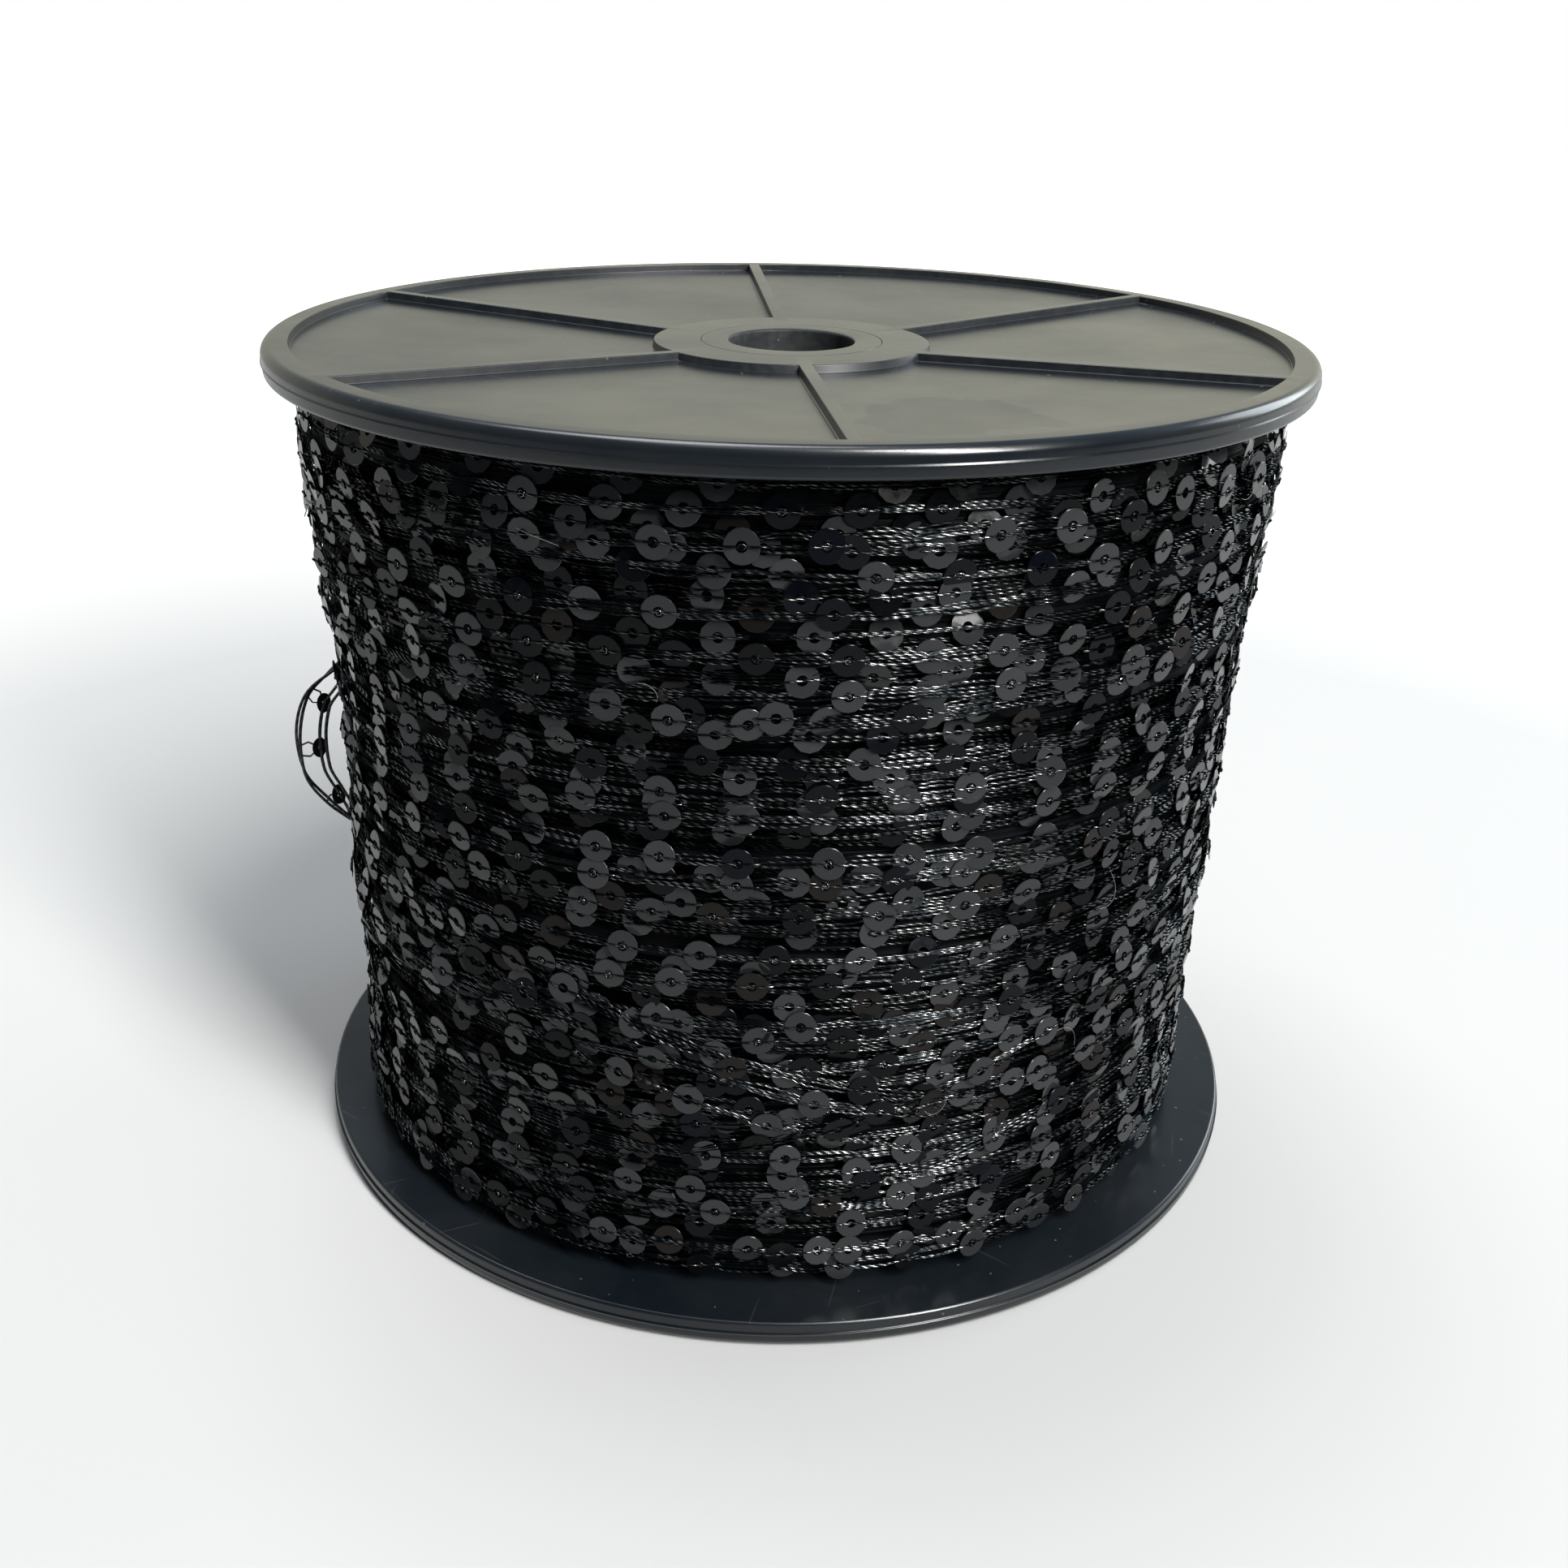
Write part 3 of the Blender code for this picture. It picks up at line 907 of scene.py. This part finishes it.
def flange_shape(reel):
    """One flange with its pockets sunk between the ribs and its moulded edges softened."""
    shape = turned_ring(flange_profile(reel), RIB_COUNT * COLUMNS_PER_SECTOR)
    align_to_ribs(shape, reel)
    shape.normal_update()
    floors = pocket_faces(shape, reel)
    walls = bmesh.ops.inset_region(shape, faces=floors, thickness=0.00012, depth=-reel.pocket_depth,
                                   use_even_offset=True, use_boundary=True)["faces"]
    walls = set(walls)
    corners = [
        edge for edge in shape.edges
        if len(edge.link_faces) == 2 and sum(face in walls for face in edge.link_faces) == 1
    ]
    bmesh.ops.bevel(shape, geom=corners, offset=reel.edge_softness, offset_type="OFFSET",
                    segments=2, profile=0.5, affect="EDGES", clamp_overlap=True, material=-1)
    mark_pocket_walls(shape, reel)
    return shape


def add_flange(name, node, reel, material, upside_down):
    shape = flange_shape(reel)
    if upside_down:
        turn = Matrix.Rotation(math.pi, 4, "X")
        bmesh.ops.transform(shape, matrix=turn, verts=shape.verts)
        shift = Vector((0.0, 0.0, reel.rim_height))
    else:
        shift = Vector((0.0, 0.0, REEL_HEIGHT - reel.rim_height))
    bmesh.ops.translate(shape, vec=shift, verts=shape.verts)
    piece = add_piece(name, finished_mesh(shape), material)
    keep_flats_flat(piece)
    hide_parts(node)


def add_core(reel, material):
    """The tube through both flanges, with a chamfered bore."""
    foot, head = CORE_LOW.z, CORE_HIGH.z
    soft = 0.4 * reel.edge_softness
    bore, chamfer = reel.bore_radius, reel.bore_chamfer
    profile = [
        (bore + chamfer, foot),
        (CORE_RADIUS - soft, foot),
        (CORE_RADIUS, foot + soft),
        (CORE_RADIUS, head - soft),
        (CORE_RADIUS - soft, head),
        (bore + chamfer, head),
        (bore + 0.3 * chamfer, head - 0.3 * chamfer),
        (bore, head - chamfer),
        (bore, foot + chamfer),
        (bore + 0.3 * chamfer, foot + 0.3 * chamfer),
    ]
    shape = turned_ring(profile, CORE_STEPS)
    # The bore's faces get the wall dust twice over, which paints in light that falls into the bore
    # from above.
    bore_dust_and_light = shape.faces.layers.float.new("wall")
    for face in shape.faces:
        _, reach = polar(face.calc_center_median())
        face[bore_dust_and_light] = 2.0 if reach < bore + 0.2 * chamfer else 0.0
    piece = add_piece("core_tube_turned", finished_mesh(shape), material)
    keep_flats_flat(piece)
    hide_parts("core_tube")


# Yarn


def add_wound_body():
    """The dark body under the modelled turns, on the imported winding's own form."""
    depth = 0.0016
    low, high = WINDING_FOOT + 0.0001, WINDING_HEAD - 0.0001
    rows = 60
    heights = [low + (high - low) * row / rows for row in range(rows + 1)]
    inner = CORE_RADIUS + 0.0005
    profile = [(inner, low)] + [(REEL_RADIUS, height) for height in heights] + [(inner, high)]
    shape = turned_ring(profile, WINDING_STEPS)
    for vert in shape.verts:
        azimuth, reach = polar(vert.co)
        if reach > 2.0 * inner:
            wanted = float(SURFACE.radius(np.array(azimuth), np.array(vert.co.z))) - depth
            vert.co.x *= wanted / reach
            vert.co.y *= wanted / reach
    piece = add_piece("wound_body", finished_mesh(shape, 50.0), dark_winding())
    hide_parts("sequin_winding")


def pin_paths(sequins, picked, yarn):
    """The thread that holds each sequin: over its edge, down into its hole and out again."""
    reach = 0.5 * yarn.sequin
    over = 0.5 * yarn.sequin_thickness + 0.35 * yarn.pin_thread
    marks = np.array([
        (-1.30 * reach, -0.9 * over), (-1.02 * reach, 0.9 * over), (-0.62 * reach, 1.1 * over),
        (-0.30 * reach, 0.9 * over), (0.0, 0.1 * over), (0.30 * reach, 0.9 * over),
        (0.62 * reach, 1.1 * over), (1.02 * reach, 0.9 * over), (1.30 * reach, -0.9 * over),
    ])
    centres, along, _, out = sequins.axes(picked)
    along = marks[None, :, 0, None] * along[:, None]
    out = marks[None, :, 1, None] * out[:, None]
    return centres[:, None] + along + out


def knot_paths(sequins, picked, yarn, rng):
    """A small loop of thread in each sequin's hole."""
    count = len(picked)
    turns = FULL_TURN * np.arange(6) / 6
    wide = 0.30 * yarn.sequin_hole * rng.uniform(0.85, 1.25, count)
    tall = 0.24 * yarn.sequin_hole * rng.uniform(0.8, 1.25, count)
    lean = rng.normal(0.35, 0.3, count)
    flat_x = wide[:, None] * np.cos(turns)
    flat_y = tall[:, None] * np.sin(turns)
    x = flat_x * np.cos(lean)[:, None] - flat_y * np.sin(lean)[:, None]
    y = flat_x * np.sin(lean)[:, None] + flat_y * np.cos(lean)[:, None]
    rise = 0.55 * yarn.pin_thread + 0.35 * yarn.pin_thread * np.cos(turns + 0.6)
    centres, along, across, out = sequins.axes(picked)
    return (
        centres[:, None]
        + x[:, :, None] * along[:, None]
        + y[:, :, None] * across[:, None]
        + rise[None, :, None] * out[:, None]
    )


def add_sequins(name, sequins, sides, chamfered, yarn, films):
    """The glossy sequins in one piece, or in two if they are many, and the others, whose tints are
    painted reflections, in another.
    """
    parts = 2 if len(sequins.glossy) > MOST_IN_ONE_PIECE else 1
    glossy = np.array_split(np.flatnonzero(sequins.glossy), parts)
    kinds = [(f"gloss_{index}", picked, films[0]) for index, picked in enumerate(glossy)]
    kinds.append(("dull", np.flatnonzero(~sequins.glossy), films[1]))
    for kind, picked, film in kinds:
        if len(picked):
            template = sequin_template(yarn, sides, chamfered)
            mesh = joined_copies(template, sequins.axes(picked), sequins.bend[picked],
                                 sequins.colours[picked])
            add_piece(f"{name}_{kind}", mesh, film)


def sew_sequins(name, turns, sides, chamfered, yarn, thread, films, rng):
    """Add the sequins of some turns and the threads that hold those before them."""
    sequins = Sequins(turns, yarn, rng)
    add_sequins(f"{name}_sequins", sequins, sides, chamfered, yarn, films)
    pinned = np.flatnonzero(sequins.front)
    pins = thread_mesh(pin_paths(sequins, pinned, yarn), yarn.pin_thread, rng)
    add_piece(f"{name}_pins", pins, thread)
    return sequins, pinned


def stray_paths(yarn, rng):
    """Short loose fibres that curl off the winding."""
    count = yarn.stray_count
    share = np.linspace(0.0, 1.0, 9)
    azimuth = rng.uniform(0.0, FULL_TURN, count)[:, None]
    height = rng.uniform(WINDING_FOOT + 0.006, WINDING_HEAD - 0.006, count)[:, None]
    reach = rng.uniform(0.0025, 0.0055, count)[:, None]
    heading = rng.uniform(-1.3, 1.3, count)[:, None]
    curl = rng.uniform(-2.0, 2.0, count)[:, None]
    side = reach * share * np.cos(heading + curl * share)
    rise = reach * share * np.sin(heading + curl * share)
    lift = 0.00030 + 0.0006 * np.sin(math.pi * share) * rng.uniform(0.2, 1.0, count)[:, None]
    return SURFACE.place(azimuth + side / REEL_RADIUS, height + rise, lift)


def smooth_route(corners, points_per_stretch):
    """Points on a Catmull-Rom curve through the corners."""
    ends = [2.0 * corners[0] - corners[1], *corners, 2.0 * corners[-1] - corners[-2]]
    route = []
    for before, start, end, after in zip(ends, ends[1:], ends[2:], ends[3:]):
        for step in range(points_per_stretch):
            t = step / points_per_stretch
            route.append(0.5 * (
                2.0 * start
                + (end - before) * t
                + (2.0 * before - 5.0 * start + 4.0 * end - after) * t * t
                + (3.0 * start - before - 3.0 * end + after) * t * t * t
            ))
    route.append(corners[-1])
    return np.array(route)


def loop_frame(route):
    """Along, inward and sideways directions at each point of the slack loop."""
    along = unit(np.gradient(route, axis=0))
    middle = route.mean(axis=0) * np.array((0.9, 0.9, 1.0))
    inward = middle - route
    inward = unit(inward - (inward * along).sum(axis=1)[:, None] * along)
    return along, inward, np.cross(along, inward)


def add_slack_loop(yarn, thread, film):
    """The loop that stands off the winding: a twisted pair, an inner pair, ties and sequins."""
    rng = np.random.default_rng(SEED + 5)
    corners = []
    for point in LOOP_ROUTE:
        turn = math.radians(point.azimuth)
        x, y = point.radius * math.cos(turn), point.radius * math.sin(turn)
        corners.append(np.array((x, y, point.height)))
    route = smooth_route(corners, 12)
    along, inward, side = loop_frame(route)
    share = np.linspace(0.0, 1.0, len(route))[:, None]

    def add_threads(kind, paths, thickness):
        return add_piece(f"loose_loop_{kind}", thread_mesh(np.array(paths), thickness, rng), thread)

    swing = 2.4 * math.pi * share
    twist = np.cos(swing) * inward + np.sin(swing) * side
    twist = 0.6 * (yarn.loop_width - yarn.loop_thread) * twist
    pair = add_threads("pair", [route + twist, route - twist], yarn.loop_thread)
    inner_reach = 0.0026 * np.sin(math.pi * np.clip(share * 1.06 - 0.03, 0.0, 1.0)) ** 0.6
    inner = [
        route + (inner_reach + offset) * inward + 0.25 * offset * side
        for offset in (0.0003, 0.0011)
    ]
    inner_piece = add_threads("inner", inner, yarn.loop_thread)
    sequin_marks = (0.30, 0.57, 0.86)
    axes, ties = [], []
    for mark in sequin_marks:
        index = round(mark * (len(route) - 1))
        centre = route[index] + (inner_reach[index] + 0.0003) * inward[index]
        facing = unit(0.80 * side[index] + 0.60 * inward[index])
        axes.append((centre, along[index], np.cross(facing, along[index]), facing))
        for drift in (-0.0006, 0.0006):
            start = route[index] + drift * along[index] - 0.0002 * inward[index]
            bulge = 0.5 * (start + centre) + drift * along[index] * 1.2
            ties.append([start, 0.6 * start + 0.4 * bulge, bulge, 0.5 * (bulge + centre), centre])
    count = len(sequin_marks)
    colours = np.tile(opaque(yarn.sequin_black), (count, 1))
    template = sequin_template(yarn, 20, True, yarn.loop_sequin)
    rings = joined_copies(template, np.array(axes).swapaxes(0, 1), np.full(count, 0.10), colours)
    ring_piece = add_piece("loose_loop_sequins", rings, film)
    tie_piece = add_threads("ties", ties, yarn.thread)
    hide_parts("loose_loop")


# Operators


class ReelOperator:
    """What the operators below have in common."""

    bl_options = {"REGISTER", "UNDO"}


class REEL_OT_moulded_reel(ReelOperator, Operator):
    """Build the two ribbed flanges and the core tube"""

    bl_idname = "sequin_reel.moulded_reel"
    bl_label = "Moulded Reel"

    def execute(self, context):
        reel = context.scene.reel_settings
        plastic = reel_plastic(reel)
        add_flange("flange_top_moulded", "flange_top", reel, plastic, upside_down=False)
        add_flange("flange_bottom_moulded", "flange_bottom", reel, plastic, upside_down=True)
        add_core(reel, plastic)
        return {"FINISHED"}


class REEL_OT_wound_yarn(ReelOperator, Operator):
    """Lay the threads and sequins of the winding"""

    bl_idname = "sequin_reel.wound_yarn"
    bl_label = "Wound Yarn"

    def execute(self, context):
        yarn = context.scene.yarn_settings
        rng = np.random.default_rng(SEED)
        thread = twisted_thread("twisted_thread", yarn)
        films = glossy_and_dull("sequin")
        add_wound_body()
        for layer in LAYERS:
            name = layer.name
            turns = layer_turns(layer, yarn, rng)
            paths = bundle_paths(turns, layer.threads, yarn, rng)
            mesh = thread_mesh(paths, yarn.thread, rng)
            add_piece(name, mesh, twisted_thread(f"{name}_thread", yarn, layer.gloss_and_shade))
            if layer.sequin_sides:
                sequins, pinned = sew_sequins(name, turns, layer.sequin_sides, layer.knotted, yarn,
                                              thread, films, rng)
            if layer.knotted:
                knots = knot_paths(sequins, pinned, yarn, rng)
                mesh = thread_mesh(knots, 0.8 * yarn.pin_thread, rng, closed=True)
                add_piece(f"{name}_knots", mesh, thread)
        return {"FINISHED"}


class REEL_OT_crossing_yarn(ReelOperator, Operator):
    """Lay the stretches of yarn that run across the other turns"""

    bl_idname = "sequin_reel.crossing_yarn"
    bl_label = "Crossing Yarn"

    def execute(self, context):
        yarn = context.scene.yarn_settings
        rng = np.random.default_rng(SEED + 1)
        thread = twisted_thread("crossing_thread", yarn, CROSSING_SHINE)
        films = glossy_and_dull("crossing")
        for index, crossing in enumerate(CROSSINGS):
            name = f"crossing_{index}"
            turns = crossing_turns(crossing, yarn, rng)
            paths = bundle_paths(turns, CROSSING_THREADS, yarn, rng)
            add_piece(name, thread_mesh(paths, yarn.thread, rng), thread)
            sew_sequins(name, turns, CROSSING_SIDES, True, yarn, thread, films, rng)
        return {"FINISHED"}


class REEL_OT_slack_loop(ReelOperator, Operator):
    """Build the slack loop of yarn at the left side"""

    bl_idname = "sequin_reel.slack_loop"
    bl_label = "Slack Loop"

    def execute(self, context):
        yarn = context.scene.yarn_settings
        add_slack_loop(yarn, slack_thread(yarn), sequin_film("slack_sequin", GLOSSY_IOR))
        return {"FINISHED"}


class REEL_OT_stray_fibres(ReelOperator, Operator):
    """Scatter a few loose fibres on the winding"""

    bl_idname = "sequin_reel.stray_fibres"
    bl_label = "Stray Fibres"

    def execute(self, context):
        yarn = context.scene.yarn_settings
        rng = np.random.default_rng(SEED + 3)
        mesh = thread_mesh(stray_paths(yarn, rng), STRAY_THICKNESS, rng)
        add_piece("stray_fibres", mesh, pale_lint(yarn))
        return {"FINISHED"}


# Studio and sidebar


def add_camera(studio):
    data = bpy.data.cameras.new("camera")
    data.lens = studio.lens
    data.sensor_width = 36.0
    data.clip_start = 0.01
    camera = linked("camera", data)
    right = CAMERA_FORWARD.cross(CAMERA_UP).normalized()
    up = right.cross(CAMERA_FORWARD).normalized()
    turn = Matrix((right, up, -CAMERA_FORWARD)).transposed()
    camera.matrix_world = Matrix.Translation(CAMERA_PLACE) @ turn.to_4x4()
    bpy.context.scene.camera = camera


def add_softbox(box, watts):
    data = bpy.data.lights.new(box.name, "AREA")
    data.shape = "RECTANGLE"
    data.size, data.size_y = box.size
    data.energy = watts
    data.color = box.tone
    lamp = linked(box.name, data)
    lamp.location = box.place
    away = Vector(box.place) - Vector(box.target)
    lamp.rotation_euler = away.to_track_quat("Z", "Y").to_euler()


def add_surround(studio):
    """A room that is warm and bright low behind the reel, cool higher up and dim before it."""
    world = bpy.data.worlds.new("studio")
    bpy.context.scene.world = world
    world.use_nodes = True
    world.node_tree.nodes.clear()
    look = Nodes(world.node_tree)
    way = look.node("SeparateXYZ", Vector=look.node("TexCoord").outputs["Generated"]).outputs
    front, back = studio.front_glow, studio.back_glow
    low_wall = (1.0 * back, 0.985 * back, 0.80 * back, 1.0)
    high_wall = (0.32 * back, 0.40 * back, 0.50 * back, 1.0)
    near = (0.76 * front, 1.0 * front, 1.28 * front, 1.0)
    wall = look.mix(look.ramp(way["Z"], 0.20, 0.60, kind="SMOOTHSTEP"), low_wall, high_wall)
    backward = look.ramp(way["Y"], -0.30, 0.70, kind="SMOOTHSTEP")
    rightward = look.ramp(way["X"], -0.75, 0.60, 0.60, 1.05, kind="SMOOTHSTEP")
    room = look.mix(look.times(backward, rightward), near, wall)
    sight = look.node("LightPath").outputs["Is Camera Ray"]
    glow = look.node("Background", Color=look.mix(sight, room, (1.0, 1.0, 1.0, 1.0)))
    look.node("OutputWorld", Surface=glow.outputs[0])


class REEL_OT_studio(ReelOperator, Operator):
    """Set up the floor, the soft light and the camera"""

    bl_idname = "sequin_reel.studio"
    bl_label = "Studio"

    def execute(self, context):
        studio = context.scene.studio_settings
        shape = bmesh.new()
        bmesh.ops.create_circle(shape, cap_ends=True, segments=96, radius=1.5)
        bmesh.ops.translate(shape, vec=(0.0, 1.05, 0.0), verts=shape.verts)
        mesh = finished_mesh(shape)
        mesh.materials.append(floor_finish(studio))
        floor = linked("floor", mesh)
        add_camera(studio)
        add_surround(studio)
        for box in SOFTBOXES:
            add_softbox(box, getattr(studio, box.power))
        context.scene.view_settings.view_transform = "Standard"
        return {"FINISHED"}


STEPS = (
    REEL_OT_studio,
    REEL_OT_moulded_reel,
    REEL_OT_wound_yarn,
    REEL_OT_crossing_yarn,
    REEL_OT_slack_loop,
    REEL_OT_stray_fibres,
)


class REEL_PT_sidebar(Panel):
    """The reel's settings and operators"""

    bl_label = "Sequin Yarn Reel"
    bl_idname = "REEL_PT_sidebar"
    bl_space_type = "VIEW_3D"
    bl_region_type = "UI"
    bl_category = "Sequin Yarn"

    def draw(self, context):
        scene = context.scene
        for group in (scene.reel_settings, scene.yarn_settings, scene.studio_settings):
            box = self.layout.box()
            for name in group.__annotations__:
                box.prop(group, name)
        for step in STEPS:
            self.layout.operator(step.bl_idname)


GROUPS = {
    "reel_settings": ReelSettings,
    "yarn_settings": YarnSettings,
    "studio_settings": StudioSettings,
}


def register():
    for name, group in GROUPS.items():
        bpy.utils.register_class(group)
        setattr(bpy.types.Scene, name, PointerProperty(type=group))
    for step in STEPS:
        bpy.utils.register_class(step)
    bpy.utils.register_class(REEL_PT_sidebar)


def unregister():
    bpy.utils.unregister_class(REEL_PT_sidebar)
    for step in reversed(STEPS):
        bpy.utils.unregister_class(step)
    for name, group in GROUPS.items():
        delattr(bpy.types.Scene, name)
        bpy.utils.unregister_class(group)


def main():
    register()
    for call in (
        bpy.ops.sequin_reel.studio,
        bpy.ops.sequin_reel.moulded_reel,
        bpy.ops.sequin_reel.wound_yarn,
        bpy.ops.sequin_reel.crossing_yarn,
        bpy.ops.sequin_reel.slack_loop,
        bpy.ops.sequin_reel.stray_fibres,
    ):
        call()


if __name__ == "__main__":
    main()
